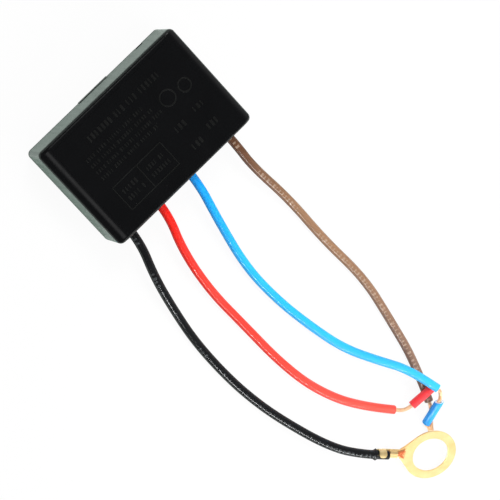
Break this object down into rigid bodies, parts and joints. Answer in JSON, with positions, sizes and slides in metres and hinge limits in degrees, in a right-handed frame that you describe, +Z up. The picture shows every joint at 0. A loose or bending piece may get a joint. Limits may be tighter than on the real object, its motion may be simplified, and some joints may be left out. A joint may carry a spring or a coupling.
{
  "type": "touch lamp switch module",
  "caption": "Flat black box with coloured leads from one long side, one lead ending in a large ring terminal; switches and dims a lamp by touch on its metal body.",
  "frame": {"origin": "bottom centre of the box, on the underside of its base plate, leads left out", "axes": "+X along the long side of the box, +Z up through the lid, leads leave through the -Y long side"},
  "size_m": [0.0529, 0.1497, 0.0158],
  "materials": {
    "case_plastic": "black moulded plastic, soft gloss",
    "board_laminate": "tan paper laminate",
    "solder": "bright solder",
    "package_plastic": "black moulded packages",
    "film_case": "red-brown dipped box",
    "can_sleeve": "dark blue shrink sleeve on a can",
    "disc_coat": "blue lacquer",
    "resistor_coat": "tan lacquer",
    "copper": "bare stranded copper",
    "black_pvc": "soft black insulation",
    "red_pvc": "soft red insulation",
    "blue_pvc": "soft blue insulation",
    "brown_pvc": "soft brown insulation",
    "brass": "stamped bright brass"
  },
  "bodies": {
    "root": {"base_plate": "case_plastic", "black_copper": "copper", "black_jacket": "black_pvc", "black_root": "copper", "blue_copper": "copper", "blue_jacket": "blue_pvc", "blue_root": "copper", "blue_slug": "blue_pvc", "brown_copper": "copper", "brown_jacket": "brown_pvc", "brown_root": "copper", "circuit_board": "board_laminate", "dropper_resistor": "resistor_coat", "electrolytic_capacitor": "can_sleeve", "film_capacitor": "film_case", "gate_resistor": "resistor_coat", "housing": "case_plastic", "rectifier_diode": "package_plastic", "red_copper": "copper", "red_jacket": "red_pvc", "red_root": "copper", "red_slug": "red_pvc", "ring_terminal": "brass", "solder_joints": "solder", "sync_resistor": "resistor_coat", "timing_capacitor": "film_case", "touch_capacitor_a": "disc_coat", "touch_capacitor_b": "disc_coat", "touch_chip": "package_plastic", "touch_resistor": "resistor_coat", "triac": "package_plastic", "zener_diode": "package_plastic"}
  },
  "joints": []
}
